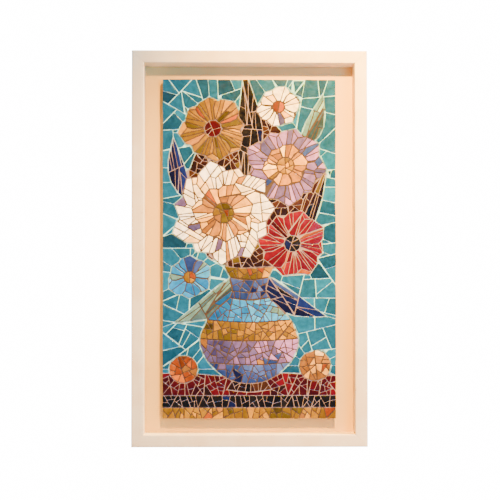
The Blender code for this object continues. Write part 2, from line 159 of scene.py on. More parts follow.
def glazedCeramic():
    # Earthenware tile, dipped and fired once more: a thin glass over a coloured
    # slip, so the eye gets soft clouds of tone and a broken satin shine.
    material, shader = newMaterial("glazed ceramic", 0.3, glaze["ior"])
    shader.inputs["Specular IOR Level"].default_value = glaze["specular"]
    tint = addNode(material, "ShaderNodeVertexColor", layer_name="tileColour")
    place = addNode(material, "ShaderNodeTexCoord").outputs["Object"]
    clouds = addNode(material, "ShaderNodeTexNoise",
                     {"Scale": perMetre(glaze["mottle"]), "Detail": 3.0, "Roughness": 0.6},
                     {"Vector": place})
    specks = addNode(material, "ShaderNodeTexNoise",
                     {"Scale": perMetre(glaze["speck"]), "Detail": 2.0}, {"Vector": place})
    tone = addNode(material, "ShaderNodeMapRange",
                   {"From Min": 0.3, "From Max": 0.7,
                    "To Min": glaze["dark"], "To Max": glaze["light"]},
                   {"Value": clouds.outputs["Fac"]})
    pits = addNode(material, "ShaderNodeMapRange",
                   {"From Min": 0.62, "From Max": 0.74, "To Min": 1.0, "To Max": 0.72},
                   {"Value": specks.outputs["Fac"]})
    drifts = addNode(material, "ShaderNodeTexNoise",
                     {"Scale": perMetre(glaze["streak"]), "Detail": 3.0, "Distortion": 1.4},
                     {"Vector": place})
    depth = addNode(material, "ShaderNodeMapRange",
                    {"From Min": 0.32, "From Max": 0.68, "To Min": 0.80, "To Max": 1.24},
                    {"Value": drifts.outputs["Fac"]})
    both = addNode(material, "ShaderNodeMath", operation="MULTIPLY",
                   links={0: tone.outputs["Result"], 1: pits.outputs["Result"]})
    whole = addNode(material, "ShaderNodeMath", operation="MULTIPLY",
                    links={0: both.outputs[0], 1: depth.outputs["Result"]})
    colour = addNode(material, "ShaderNodeVectorMath", operation="SCALE",
                     links={0: tint.outputs["Color"], "Scale": whole.outputs[0]})
    plug(material, colour.outputs[0], shader, "Base Color")
    shine = addNode(material, "ShaderNodeMapRange",
                    {"From Min": 0.35, "From Max": 0.65,
                     "To Min": glaze["roughness"][0], "To Max": glaze["roughness"][1]},
                    {"Value": clouds.outputs["Fac"]})
    plug(material, shine.outputs["Result"], shader, "Roughness")
    ripples = addNode(material, "ShaderNodeTexNoise",
                      {"Scale": perMetre(glaze["wave"]), "Detail": 1.0}, {"Vector": place})
    height = addNode(material, "ShaderNodeMath", operation="MULTIPLY_ADD",
                     values={1: 0.12}, links={0: specks.outputs["Fac"],
                                              2: ripples.outputs["Fac"]})
    bump = addNode(material, "ShaderNodeBump", {"Strength": 0.2, "Distance": 0.0006},
                   {"Height": height.outputs[0]})
    plug(material, bump.outputs["Normal"], shader, "Normal")
    return material


def cementGrout():
    # Sanded cement grout wiped off with a sponge: dead matt, grainy, paler where
    # it dried fast and with the dye of its own batch.
    material, shader = newMaterial("cement grout", 0.93, 1.5)
    tint = addNode(material, "ShaderNodeVertexColor", layer_name="groutColour")
    place = addNode(material, "ShaderNodeTexCoord").outputs["Object"]
    sand = addNode(material, "ShaderNodeTexNoise",
                   {"Scale": perMetre(1.1), "Detail": 4.0, "Roughness": 0.7},
                   {"Vector": place})
    bloom = addNode(material, "ShaderNodeTexNoise",
                    {"Scale": perMetre(22), "Detail": 3.0}, {"Vector": place})
    grains = addNode(material, "ShaderNodeMapRange",
                     {"From Min": 0.3, "From Max": 0.7, "To Min": 0.84, "To Max": 1.12},
                     {"Value": sand.outputs["Fac"]})
    patches = addNode(material, "ShaderNodeMapRange",
                      {"From Min": 0.3, "From Max": 0.7, "To Min": 0.90, "To Max": 1.08},
                      {"Value": bloom.outputs["Fac"]})
    both = addNode(material, "ShaderNodeMath", operation="MULTIPLY",
                   links={0: grains.outputs["Result"], 1: patches.outputs["Result"]})
    colour = addNode(material, "ShaderNodeVectorMath", operation="SCALE",
                     links={0: tint.outputs["Color"], "Scale": both.outputs[0]})
    plug(material, colour.outputs[0], shader, "Base Color")
    bump = addNode(material, "ShaderNodeBump", {"Strength": 0.7, "Distance": 0.0004},
                   {"Height": sand.outputs["Fac"]})
    plug(material, bump.outputs["Normal"], shader, "Normal")
    return material


paint = {
    "cream": "#F8E9C2",
    "thin": "#F1DBAE",          # where the brush left less paint
    "worn": "#C8A070",          # primer and wood at a rubbed arris
    "stroke": (0.9, 60.0),      # mm across and along a brush mark
}


def paintedWood(name, along):
    # Softwood with two brushed coats of cream eggshell: fine ridges along the
    # length, a low sheen, and arrises rubbed a little thin.
    material, shader = newMaterial(name, 0.48, 1.5)
    place = addNode(material, "ShaderNodeTexCoord").outputs["Object"]
    across, length = (perMetre(size) for size in paint["stroke"])
    scale = (length, across, across) if along == "x" else (across, across, length)
    stretched = addNode(material, "ShaderNodeMapping", {"Scale": scale}, {"Vector": place})
    strokes = addNode(material, "ShaderNodeTexNoise",
                      {"Scale": 1.0, "Detail": 3.0, "Roughness": 0.55},
                      {"Vector": stretched.outputs[0]})
    patches = addNode(material, "ShaderNodeTexNoise",
                      {"Scale": perMetre(45), "Detail": 4.0}, {"Vector": place})
    blend = addNode(material, "ShaderNodeMath", operation="MULTIPLY_ADD",
                    values={1: 0.5}, links={0: strokes.outputs["Fac"],
                                            2: patches.outputs["Fac"]})
    ramp = addNode(material, "ShaderNodeMapRange", {"From Min": 0.62, "From Max": 0.92},
                   {"Value": blend.outputs[0]})
    coat = addNode(material, "ShaderNodeMix", data_type="RGBA",
                   values={6: rgba(paint["thin"]), 7: rgba(paint["cream"])},
                   links={0: ramp.outputs["Result"]})
    rub = addNode(material, "ShaderNodeVertexColor", layer_name="rubbed")
    chips = addNode(material, "ShaderNodeTexNoise",
                    {"Scale": perMetre(9), "Detail": 5.0, "Roughness": 0.7},
                    {"Vector": place})
    chipped = addNode(material, "ShaderNodeMapRange", {"From Min": 0.58, "From Max": 0.74},
                      {"Value": chips.outputs["Fac"]})
    wear = addNode(material, "ShaderNodeMath", operation="MULTIPLY",
                   links={0: rub.outputs["Color"], 1: chipped.outputs["Result"]})
    colour = addNode(material, "ShaderNodeMix", data_type="RGBA",
                     values={7: rgba(paint["worn"])},
                     links={0: wear.outputs[0], 6: coat.outputs[2]})
    plug(material, colour.outputs[2], shader, "Base Color")
    bump = addNode(material, "ShaderNodeBump", {"Strength": 0.25, "Distance": 0.0003},
                   {"Height": strokes.outputs["Fac"]})
    plug(material, bump.outputs["Normal"], shader, "Normal")
    return material


def paintedBoard():
    # Hardboard, rolled with matt cream on its face and left bare behind: the
    # face has a faint roller stipple, the back a brown pressed weave.
    material, shader = newMaterial("painted hardboard", 0.75, 1.5)
    place = addNode(material, "ShaderNodeTexCoord").outputs["Object"]
    stipple = addNode(material, "ShaderNodeTexNoise",
                      {"Scale": perMetre(1.8), "Detail": 3.0}, {"Vector": place})
    patches = addNode(material, "ShaderNodeTexNoise",
                      {"Scale": perMetre(80), "Detail": 3.0}, {"Vector": place})
    face = addNode(material, "ShaderNodeMix", data_type="RGBA",
                   values={6: rgba("#DDB866"), 7: rgba("#E5C273")},
                   links={0: patches.outputs["Fac"]})
    low, high = boxOf["backing_board"]
    fibres = addNode(material, "ShaderNodeTexNoise",
                     {"Scale": perMetre(3), "Detail": 6.0, "Roughness": 0.75},
                     {"Vector": place})
    back = addNode(material, "ShaderNodeMix", data_type="RGBA",
                   values={6: rgba("#6B4A2E"), 7: rgba("#A47C52")},
                   links={0: fibres.outputs["Fac"]})
    depth = addNode(material, "ShaderNodeSeparateXYZ", links={0: place})
    behind = addNode(material, "ShaderNodeMapRange",
                     {"From Min": low.y + 0.0004, "From Max": low.y + 0.0007},
                     {"Value": depth.outputs["Y"]})
    colour = addNode(material, "ShaderNodeMix", data_type="RGBA",
                     links={0: behind.outputs["Result"], 6: face.outputs[2],
                            7: back.outputs[2]})
    plug(material, colour.outputs[2], shader, "Base Color")
    bump = addNode(material, "ShaderNodeBump", {"Strength": 0.2, "Distance": 0.0002},
                   {"Height": stipple.outputs["Fac"]})
    plug(material, bump.outputs["Normal"], shader, "Normal")
    return material


def fibreboard():
    # Sawn fibreboard: fuzzy brown edges, with grey-beige adhesive and grout
    # smeared over the front third where the tiles were bedded.
    material, shader = newMaterial("sawn fibreboard", 0.85, 1.5)
    place = addNode(material, "ShaderNodeTexCoord").outputs["Object"]
    fibres = addNode(material, "ShaderNodeTexNoise",
                     {"Scale": perMetre(1.5), "Detail": 5.0, "Roughness": 0.7},
                     {"Vector": place})
    wood = addNode(material, "ShaderNodeMix", data_type="RGBA",
                   values={6: rgba("#8F6A45"), 7: rgba("#B8916A")},
                   links={0: fibres.outputs["Fac"]})
    smear = addNode(material, "ShaderNodeTexNoise",
                    {"Scale": perMetre(14), "Detail": 4.0}, {"Vector": place})
    depth = addNode(material, "ShaderNodeSeparateXYZ", links={0: place})
    reach = addNode(material, "ShaderNodeMapRange",
                    {"From Min": boardLow.y + 0.008, "From Max": boardLow.y,
                     "To Min": -0.35, "To Max": 0.55},
                    {"Value": depth.outputs["Y"]})
    amount = addNode(material, "ShaderNodeMath", operation="ADD",
                     links={0: smear.outputs["Fac"], 1: reach.outputs["Result"]})
    edge = addNode(material, "ShaderNodeMapRange", {"From Min": 0.5, "From Max": 0.62},
                   {"Value": amount.outputs[0]})
    colour = addNode(material, "ShaderNodeMix", data_type="RGBA",
                     values={7: rgba("#B79A80")},
                     links={0: edge.outputs["Result"], 6: wood.outputs[2]})
    plug(material, colour.outputs[2], shader, "Base Color")
    bump = addNode(material, "ShaderNodeBump", {"Strength": 0.5, "Distance": 0.0003},
                   {"Height": fibres.outputs["Fac"]})
    plug(material, bump.outputs["Normal"], shader, "Normal")
    return material


def studioFloor():
    # Pale vinyl sweep: one soft tone with hardly any shine.
    material, shader = newMaterial("pale studio vinyl", 0.8, 1.5)
    place = addNode(material, "ShaderNodeTexCoord").outputs["Object"]
    patches = addNode(material, "ShaderNodeTexNoise", {"Scale": 3.0, "Detail": 2.0},
                      {"Vector": place})
    colour = addNode(material, "ShaderNodeMix", data_type="RGBA",
                     values={6: rgba("#F1F0EC"), 7: rgba("#F5F4F1")},
                     links={0: patches.outputs["Fac"]})
    plug(material, colour.outputs[2], shader, "Base Color")
    return material


materials = {
    "tile": glazedCeramic(),
    "grout": cementGrout(),
    "rail": paintedWood("painted softwood rail", "x"),
    "stile": paintedWood("painted softwood stile", "z"),
    "backing": paintedBoard(),
    "board": fibreboard(),
    "floor": studioFloor(),
}
print("materials mixed")


# Flat outlines: lists of (x, z) points, anticlockwise as seen from the front

def areaOf(outline):
    doubled = 0.0
    for a, b in zip(outline, outline[1:] + outline[:1]):
        doubled += a.x * b.y - b.x * a.y
    return doubled / 2


def middleOf(outline):
    return sum(outline, Vector((0, 0))) / len(outline)


def turned(way, turn):
    return Vector((way.x * math.cos(turn) - way.y * math.sin(turn),
                   way.x * math.sin(turn) + way.y * math.cos(turn)))


def longWay(points):
    # the direction in which points spread the most
    middle = middleOf(points)
    xx = sum((p.x - middle.x) ** 2 for p in points)
    yy = sum((p.y - middle.y) ** 2 for p in points)
    xy = sum((p.x - middle.x) * (p.y - middle.y) for p in points)
    return turned(Vector((1, 0)), 0.5 * math.atan2(2 * xy, xx - yy))


def reachOf(outline, way):
    reach = [p.dot(way) for p in outline]
    return min(reach), max(reach)


cutting = {"reach": 0.4, "merge": 1e-6, "allTriangles": 0, "wholeFaces": 4, "deepest": 22.0}


def sawn(outline, place, normal, joint):
    # The sides of a cut, each drawn back by half the joint: two cuts, and the
    # strip between them falls away.
    far = Vector((-normal.y, normal.x)) * cutting["reach"]
    points, cuts = list(outline), []
    for side in (-0.5, 0.5):
        start = place + normal * (side * joint)
        cuts.append((len(points), len(points) + 1))
        points += [start - far, start + far]
    points, _, faces, _, _, covers = delaunay_2d_cdt(
        points, cuts, [list(range(len(outline)))], cutting["wholeFaces"], cutting["merge"])
    sides = [[points[i] for i in face] for face, cover in zip(faces, covers) if cover]
    return [s for s in sides if abs((middleOf(s) - place).dot(normal)) > joint / 2]


def relieved(outline, joint, tries=8):
    # A tile cracks across a deep inward corner, so a shard is parted there.
    worst, bend = None, -math.radians(cutting["deepest"])
    for i, here in enumerate(outline):
        a = here - outline[i - 1]
        b = outline[(i + 1) % len(outline)] - here
        turn = math.atan2(a.x * b.y - a.y * b.x, a.dot(b))
        if turn < bend:
            worst, bend = i, turn
    if worst is None or tries == 0:
        return [outline]
    here = outline[worst]
    a = (here - outline[worst - 1]).normalized()
    b = (outline[(worst + 1) % len(outline)] - here).normalized()
    inward = (a - b).normalized()
    parts = []
    for side in sawn(outline, here, Vector((-inward.y, inward.x)), joint):
        parts += relieved(side, joint, tries - 1)
    return parts


def nip(outline, style, chance, grainAt):
    # Nips a shard down to tiles: across it, or along it while it is too stout.
    if areaOf(outline) < style["area"] * chance.uniform(*style["spread"]):
        return [outline]
    along = grainAt(middleOf(outline)) or longWay(outline)
    across = Vector((-along.y, along.x))
    spans = [reachOf(outline, along), reachOf(outline, across)]
    length, width = (high - low for low, high in spans)
    lengthwise = length < width * style["slender"]
    way, other = (along, across) if lengthwise else (across, along)
    low, high = spans[1] if lengthwise else spans[0]
    place = other * (low + (high - low) * chance.uniform(0.38, 0.62))
    place += way * middleOf(outline).dot(way)
    turn = math.radians(chance.uniform(-1, 1) * style["turn"][0 if lengthwise else 1])
    tiles = []
    for side in sawn(outline, place, turned(other, turn), style["joint"]):
        tiles += nip(side, style, chance, grainAt)
    return tiles


def cleaned(outline, shortest):
    # drops points that sit closer together than the shortest edge
    kept = []
    for point in outline:
        if not kept or (point - kept[-1]).length > shortest:
            kept.append(point)
    while len(kept) > 3 and (kept[0] - kept[-1]).length < shortest:
        kept.pop()
    return kept


def drawnIn(outline, depth):
    points = []
    count = len(outline)
    for i, here in enumerate(outline):
        a = (here - outline[i - 1]).normalized()
        b = (outline[(i + 1) % count] - here).normalized()
        inward = Vector((-a.y - b.y, a.x + b.x))
        if inward.length < 1e-6:
            inward = Vector((-a.y, a.x))
        inward.normalize()
        push = depth / max(0.5, inward.dot(Vector((-a.y, a.x))))
        points.append(here + inward * push)
    return points


def bluntness(outline, i, style, chance):
    # how far a corner is nipped off: more at a sharp one, so that its rim can roll
    back = outline[i - 1] - outline[i]
    on = outline[(i + 1) % len(outline)] - outline[i]
    angle = max(0.12, back.angle(on))
    least = 1.3 * laying["edge"] * math.tan((math.pi - angle) / 4) / math.sin(angle / 2)
    return max(least, style["blunt"] * chance.uniform(0.5, 1.5))


def handCut(outline, style, chance):
    # Nippers leave the corners a little blunt and the edges a little off true.
    points = []
    count = len(outline)
    blunts = [bluntness(outline, i, style, chance) for i in range(count)]
    for i, here in enumerate(outline):
        k = (i + 1) % count
        run = outline[k] - here
        aside = Vector((run.y, -run.x)).normalized()
        step = run.normalized()
        points.append(here + step * min(blunts[i], run.length * 0.4))
        between = int(run.length / style["chatter"])
        for n in range(1, between + 1):
            share = n / (between + 1)
            points.append(here + run * share + aside * chance.gauss(0, style["ragged"]))
        points.append(outline[k] - step * min(blunts[k], run.length * 0.4))
    return cleaned(points, 0.0002)


def fitToRim(outline, depth):
    # While drawing the outline in would turn an edge round, its ends are merged.
    outline = list(outline)
    while len(outline) > 3:
        inner = drawnIn(outline, depth)
        count = len(outline)
        flipped = [i for i in range(count)
                   if (inner[(i + 1) % count] - inner[i]).dot(
                       outline[(i + 1) % count] - outline[i]) <= 0]
        if not flipped:
            break
        i, k = flipped[0], (flipped[0] + 1) % count
        outline[i] = (outline[i] + outline[k]) / 2
        del outline[k]
    return outline


def crosses(outline):
    # true if two edges of an outline that aren't neighbours meet
    count = len(outline)
    for i in range(count):
        for k in range(i + 2, count):
            if i == 0 and k == count - 1:
                continue
            if intersect_line_line_2d(outline[i], outline[i + 1], outline[k],
                                      outline[(k + 1) % count]):
                return True
    return False


def outlineToLay(tile, style, chance):
    # The tile cut by hand, or true where a hand cut leaves no room for the rim
    for outline in (handCut(tile, style, chance), tile):
        outline = fitToRim(outline, laying["edge"])
        if not crosses(drawnIn(outline, laying["edge"])):
            return outline
    return None


# Tiles

cutStyles = {
    "shard": {"area": 720e-6, "spread": (0.7, 1.5), "slender": 1.25, "turn": (28, 28),
              "joint": 0.0016, "blunt": 0.0007, "ragged": 0.00016, "chatter": 0.007,
              "smallest": 20e-6, "tilt": 0.8},
    "nipped": {"area": 125e-6, "spread": (0.6, 1.5), "slender": 1.0, "turn": (26, 26),
               "joint": 0.0016, "blunt": 0.0005, "ragged": 0.00014, "chatter": 0.005,
               "smallest": 12e-6, "tilt": 1.6},
    "sliver": {"area": 260e-6, "spread": (0.6, 1.5), "slender": 4.4, "turn": (7, 40),
               "joint": 0.0016, "blunt": 0.0006, "ragged": 0.00012, "chatter": 0.006,
               "smallest": 14e-6, "tilt": 1.4},
}

palettes = {        # from the palest glaze of each to the deepest
    "teal_tile": ["#196892", "#185B82", "#164E70", "#134260", "#103650"],
    "cream_tile": ["#FFFCF4", "#FFF3DC", "#FDE6BC", "#F4CC88", "#D8A250"],
    "peach_tile": ["#F6CC7C", "#D29A3E", "#A26E28", "#7C521F", "#583A20"],
    "ochre_tile": ["#B88408", "#8C6606", "#6A5006", "#4E4208", "#383008"],
    "orange_tile": ["#B05C0A", "#944808", "#783606", "#5A2A08"],
    "red_tile": ["#6E0718", "#5C0614", "#4C0612", "#3C060E"],
    "dark_red_tile": ["#46060C", "#3A060A", "#2E0608", "#240608"],
    "lilac_tile": ["#A476B2", "#785C92", "#5A4C7A", "#45406C", "#32305C"],
    "brown_tile": ["#38200F", "#28140A", "#1C0E08", "#130A08"],
    "black_tile": ["#161412", "#100E0C", "#0B0A0A", "#090A09"],
    "light_blue_tile": ["#389CE4", "#1C7CC6", "#1062A8", "#124C88"],
    "slate_tile": ["#425A9C", "#2E4380", "#20336A", "#152558"],
    "navy_tile": ["#12205A", "#0D1848", "#0B1138", "#090B2A"],
    "grey_green_tile": ["#8CBEAC", "#58807E", "#3B575E", "#263C44"],
}
strays = {          # glazes that a field borrows a few tiles from
    "cream_tile": ["peach_tile", "ochre_tile", "lilac_tile"],
    "peach_tile": ["cream_tile", "orange_tile", "ochre_tile"],
    "ochre_tile": ["peach_tile", "orange_tile"],
    "orange_tile": ["ochre_tile", "peach_tile", "red_tile"],
    "red_tile": ["dark_red_tile", "orange_tile"],
    "dark_red_tile": ["red_tile", "brown_tile"],
    "lilac_tile": ["slate_tile", "peach_tile"],
    "brown_tile": ["dark_red_tile", "black_tile", "ochre_tile"],
    "black_tile": ["brown_tile", "navy_tile"],
    "light_blue_tile": ["slate_tile", "grey_green_tile"],
    "slate_tile": ["light_blue_tile", "navy_tile", "lilac_tile"],
    "navy_tile": ["slate_tile", "black_tile"],
    "grey_green_tile": ["ochre_tile", "light_blue_tile"],
}

groutBatches = {
    "ground": "#A2F0FF",        # white grout, taking the colour of the ground
    "pale": "#3E3028",          # brown between the pale tiles
    "dark": "#8A7A7E",          # pinkish beige between the dark and red ones
}
darkSlots = {"red_tile", "dark_red_tile", "brown_tile", "black_tile", "navy_tile"}

laying = {
    "edge": 0.00040,            # how far the glaze rolls over the rim
    "heights": 0.00018,         # tiles stand a little high or low
    "back": 0.0002,             # above the board
    "margin": 0.0019,           # outlines this near the panel's side run on to it
    "overhang": 0.0009,         # tiles end this much inside or outside the board's side
    "tight": {"ground": 0.00030, "pale": 0.0, "dark": 0.0003},  # joints pressed narrower
    "chip": (0.0022, 0.0013),   # least radius of a gap worth a chip, and the joint round it
    "patch": 34.0,              # per metre, how soon one tone gives way to the next
    "mixed": 0.13,              # spread of tone among neighbours
    "stray": 0.07,              # share of tiles from another glaze
    "vary": 0.06,
    "biscuit": "#CDB49A",       # fired clay where a tile was nipped
}


def facesAt(name, level):
    # the corners, in micrometres, of a field's faces that lie at this level
    mesh = nodes[name].data
    rings = []
    for face in mesh.polygons:
        corners = [mesh.vertices[i].co for i in face.vertices]
        if all(abs(c.y - level) < 1e-5 for c in corners):
            rings.append([(round(c.x * 1e6), round(c.z * 1e6)) for c in corners])
    return rings


def bordersOf(rings):
    # the edges that only one of these faces has
    edges = {edge for ring in rings for edge in zip(ring, ring[1:] + ring[:1])}
    return sorted((a, b) for a, b in edges if (b, a) not in edges)


def topOutlines(name):
    # the outlines of a field's raised shards
    following = dict(bordersOf(facesAt(name, boxOf[name][0].y)))
    outlines = []
    while following:
        start = min(following)
        ring = [start]
        here = following.pop(start)
        while here != start and here in following:
            ring.append(here)
            here = following.pop(here)
        outline = [Vector((x * 1e-6, z * 1e-6)) for x, z in ring]
        if areaOf(outline) < 0:
            outline.reverse()
        outlines.append(outline)
    return sorted(outlines, key=lambda o: (round(middleOf(o).y, 4), round(middleOf(o).x, 4)))


def within(place, borders):
    # true if a line to the right of the place crosses an odd number of borders
    crossed = 0
    for a, b in borders:
        if (a[1] > place.y) != (b[1] > place.y):
            at = a[0] + (b[0] - a[0]) * (place.y - a[1]) / (b[1] - a[1])
            crossed += at > place.x
    return crossed % 2 == 1


def chipsBetween(name):
    # The solid leaves its plate bare beside curves and between small shards.
    # Its stout triangles there, less a joint all round, take chips of tile.
    plateY = max(nodes[name].data.vertices[face.vertices[0]].co.y
                 for face in nodes[name].data.polygons if face.normal.y < -0.99)
    borders = bordersOf(facesAt(name, plateY))
    places = sorted({place for edge in borders for place in edge})
    number = {place: i for i, place in enumerate(places)}
    points, _, triangles, _, _, _ = delaunay_2d_cdt(
        [Vector(place) * 1e-6 for place in places], [(number[a], number[b]) for a, b in borders],
        [], cutting["allTriangles"], cutting["merge"])
    least, joint = laying["chip"]
    chips = []
    for triangle in triangles:
        a, b, c = (points[i] for i in triangle)
        if not within((a + b + c) / 3 * 1e6, borders):
            continue
        sides = ((b - c).length, (c - a).length, (a - b).length)
        radius = 2 * abs(areaOf([a, b, c])) / sum(sides)
        if radius < least:
            continue
        centre = (a * sides[0] + b * sides[1] + c * sides[2]) / sum(sides)
        chip = [centre + (corner - centre) * (1 - joint / radius) for corner in (a, b, c)]
        chips.append(chip if areaOf(chip) > 0 else chip[::-1])
    return chips


def styleOf(name):
    if name.startswith("ground"):
        return cutStyles["shard"]
    if "petals" in name or name.startswith("leaf"):
        return cutStyles["sliver"]
    return cutStyles["nipped"]


def heartOf(name):
    low, high = boxOf[name.split("_bloom")[0] + "_bloom_heart_tiles"]
    return Vector(((low.x + high.x) / 2, (low.z + high.z) / 2))


def grainOf(name, place, leafWay):
    # petals are cut towards their heart, and leaves along their rib
    if "_petals" in name:
        return (place - heartOf(name)).normalized()
    return leafWay


def toneAt(name, place, leafWay, leafMiddle, chance):
    # 0 is the palest glaze of a palette, and 1 the deepest
    low, high = boxOf[name]
    drift = noise.noise(Vector((place.x, len(name) * 0.37, place.y)) * laying["patch"])
    tone = 0.45 + 0.5 * drift
    if name.startswith("vase"):
        # lit from the right, as a round body is
        side = (place.x - (low.x + high.x) / 2) / ((high.x - low.x) / 2)
        tone = 0.42 - 0.42 * side + 0.25 * drift
    elif "_petals" in name:
        spoke = place - heartOf(name)
        reach = max(high.x - low.x, high.z - low.z) / 2
        fan = noise.noise(Vector((math.atan2(spoke.y, spoke.x) * 1.9, len(name), 0)))
        tone = 0.95 - 0.85 * spoke.length / reach + 0.45 * fan
    elif leafMiddle is not None:
        side = (place - leafMiddle).dot(Vector((-leafWay.y, leafWay.x)))
        tone = (0.25 if side > 0 else 0.7) + 0.3 * drift
    tone += chance.gauss(0, laying["mixed"])
    return max(0.0, min(0.999, tone))


def varied(code, chance):
    # the same glaze, a little lighter or darker and warmer or cooler
    light = 1 + chance.uniform(-2, 2) * laying["vary"]
    warmth = chance.uniform(-0.5, 0.5) * laying["vary"]
    red, green, blue = hexToLinear(code)
    return (min(1, red * light * (1 + warmth)), min(1, green * light),
            min(1, blue * light * (1 - warmth)), 1.0)


def toPanelEdge(outline):
    # tiles along the panel's side run on to the board's edge, not quite true
    for point in outline:
        stray = noise.noise(Vector((point.x, 3.1, point.y)) * 41) * laying["overhang"]
        for axis, (left, right) in ((0, (boardLow.x, boardHigh.x)),
                                    (1, (boardLow.z, boardHigh.z))):
            if point[axis] - left < laying["margin"]:
                point[axis] = left + stray
            elif right - point[axis] < laying["margin"]:
                point[axis] = right + stray
    return outline


def layTile(sheet, layer, outline, style, glazeColour, chance):
    # one tile as a closed body: nipped clay sides, a rolled rim and a glazed face
    middle = middleOf(outline)
    lean = [math.tan(math.radians(chance.gauss(0, style["tilt"] / 2))) for _ in range(2)]
    lift = chance.uniform(-1, 1) * laying["heights"]
    clay = (*hexToLinear(laying["biscuit"]), 1.0)
    rings = []
    for inset, depth in ((0, None), (0, 1.0), (0.3, 0.3), (1.0, 0.0)):
        points = drawnIn(outline, laying["edge"] * inset) if inset else outline
        ring = []
        for point in points:
            if depth is None:
                y = boardLow.y - laying["back"]
            else:
                y = tileTopY + lift + laying["edge"] * depth
                y += lean[0] * (point.x - middle.x) + lean[1] * (point.y - middle.y)
            ring.append(sheet.verts.new((point.x, y, point.y)))
        rings.append(ring)
    count = len(outline)
    for level, (deep, near) in enumerate(zip(rings, rings[1:])):
        for j in range(count):
            k = (j + 1) % count
            face = sheet.faces.new((deep[j], deep[k], near[k], near[j]))
            face.smooth = level > 0
            for loop in face.loops:
                loop[layer] = clay if level == 0 else glazeColour
    for ring, colour in ((rings[-1], glazeColour), (rings[0][::-1], clay)):
        face = sheet.faces.new(ring)
        for loop in face.loops:
            loop[layer] = colour


def finishedPiece(name, sheet, material):
    mesh = bpy.data.meshes.new(name)
    sheet.to_mesh(mesh)
    sheet.free()
    mesh.materials.append(material)
    piece = bpy.data.objects.new(name, mesh)
    bpy.context.scene.collection.objects.link(piece)
    return piece


groutMarks = []         # (place, batch) all round the tiles, for the grout's colour


def layField(name):
    style = styleOf(name)
    slot = slotOf[name]
    batch = "ground" if name.startswith("ground") else "dark" if slot in darkSlots else "pale"
    chance = random.Random(name)
    sheet = bmesh.new()
    layer = sheet.loops.layers.float_color.new("tileColour")
    shards = topOutlines(name)
    leafWay = leafMiddle = None
    if name.startswith("leaf"):
        everyPoint = [point for shard in shards for point in shard]
        leafWay, leafMiddle = longWay(everyPoint), middleOf(everyPoint)
    tiles = []
    for shard in shards + chipsBetween(name):
        for part in relieved(cleaned(shard, 0.0012), style["joint"]):
            tiles += nip(part, style, chance, lambda place: grainOf(name, place, leafWay))
    count = 0
    for tile in tiles:
        tile = cleaned(toPanelEdge(cleaned(tile, 0.0010)), 0.0006)
        if len(tile) < 3 or areaOf(tile) < style["smallest"]:
            continue
        tone = toneAt(name, middleOf(tile), leafWay, leafMiddle, chance)
        glazes = palettes[slot]
        if slot in strays and chance.random() < laying["stray"]:
            glazes = palettes[chance.choice(strays[slot])]
            tone = 0.25 + 0.75 * tone
        colour = varied(glazes[int(tone * len(glazes))], chance)
        outline = outlineToLay(drawnIn(tile, -laying["tight"][batch]), style, chance)
        if outline is None:
            continue
        layTile(sheet, layer, outline, style, colour, chance)
        groutMarks.extend((point, batch) for point in outline)
        count += 1
    piece = finishedPiece(name.replace("_tiles", "_tesserae"), sheet, materials["tile"])
    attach(piece, "root")
    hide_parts(name)
    return count


tileCount = sum(layField(name) for name in tileNodes)
print("tiles laid:", tileCount)


# Grout

groutBed = {
    "pitch": 0.0015,
    "level": 0.0011,            # below the tiles' faces
    "wave": 0.00022,            # how uneven the sponge left it
    "meniscus": 0.00035,        # it stands higher against a tile
    "edge": 0.0003,
    "seed": 11,
}


def makeGrout():
    tree = kdtree.KDTree(len(groutMarks))
    for i, (point, _) in enumerate(groutMarks):
        tree.insert((point.x, point.y, 0), i)
    tree.balance()
    tints = {batch: Vector(hexToLinear(code)) for batch, code in groutBatches.items()}
    width, height = boardHigh.x - boardLow.x, boardHigh.z - boardLow.z
    across = round(width / groutBed["pitch"])
    up = round(height / groutBed["pitch"])
    chance = random.Random(groutBed["seed"])
    sheet = bmesh.new()
    layer = sheet.verts.layers.float_color.new("groutColour")
    rows = []
    for j in range(up + 1):
        row = []
        for i in range(across + 1):
            x = boardLow.x + width * i / across
            z = boardLow.z + height * j / up
            if i in (0, across):
                x -= math.copysign(chance.uniform(0, 2) * groutBed["edge"], x)
            if j in (0, up):
                z += chance.uniform(0, 2) * groutBed["edge"] * (1 if j == 0 else -1)
            near = tree.find_n((x, z, 0), 4)
            distance = near[0][2]
            rise = max(0.0, 1 - distance / 0.0010) * groutBed["meniscus"]
            swell = noise.noise(Vector((x, 0, z)) * 210) * groutBed["wave"]
            y = tileTopY + groutBed["level"] - rise + swell
            vertex = sheet.verts.new((x, y, z))
            tint = sum((tints[groutMarks[n][1]] for _, n, _ in near), Vector((0, 0, 0))) / 4
            vertex[layer] = (*tint, 1.0)
            row.append(vertex)
        rows.append(row)
    for low, high in zip(rows, rows[1:]):
        for i in range(across):
            face = sheet.faces.new((low[i], low[i + 1], high[i + 1], high[i]))
            face.smooth = True
    rim = rows[0][:-1] + [row[-1] for row in rows[:-1]] + rows[-1][:0:-1]
    rim += [row[0] for row in rows[:0:-1]]
    foot = []
    for vertex in rim:
        low = sheet.verts.new((vertex.co.x, boardLow.y - laying["back"], vertex.co.z))
        low[layer] = vertex[layer]
        foot.append(low)
    for i in range(len(rim)):
        k = (i + 1) % len(rim)
        sheet.faces.new((foot[i], foot[k], rim[k], rim[i]))
    sheet.faces.new(foot[::-1])
    piece = finishedPiece("grout_bed", sheet, materials["grout"])
    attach(piece, "root")
    return piece


makeGrout()
print("joints grouted")


# Frame members, mitred at the corners

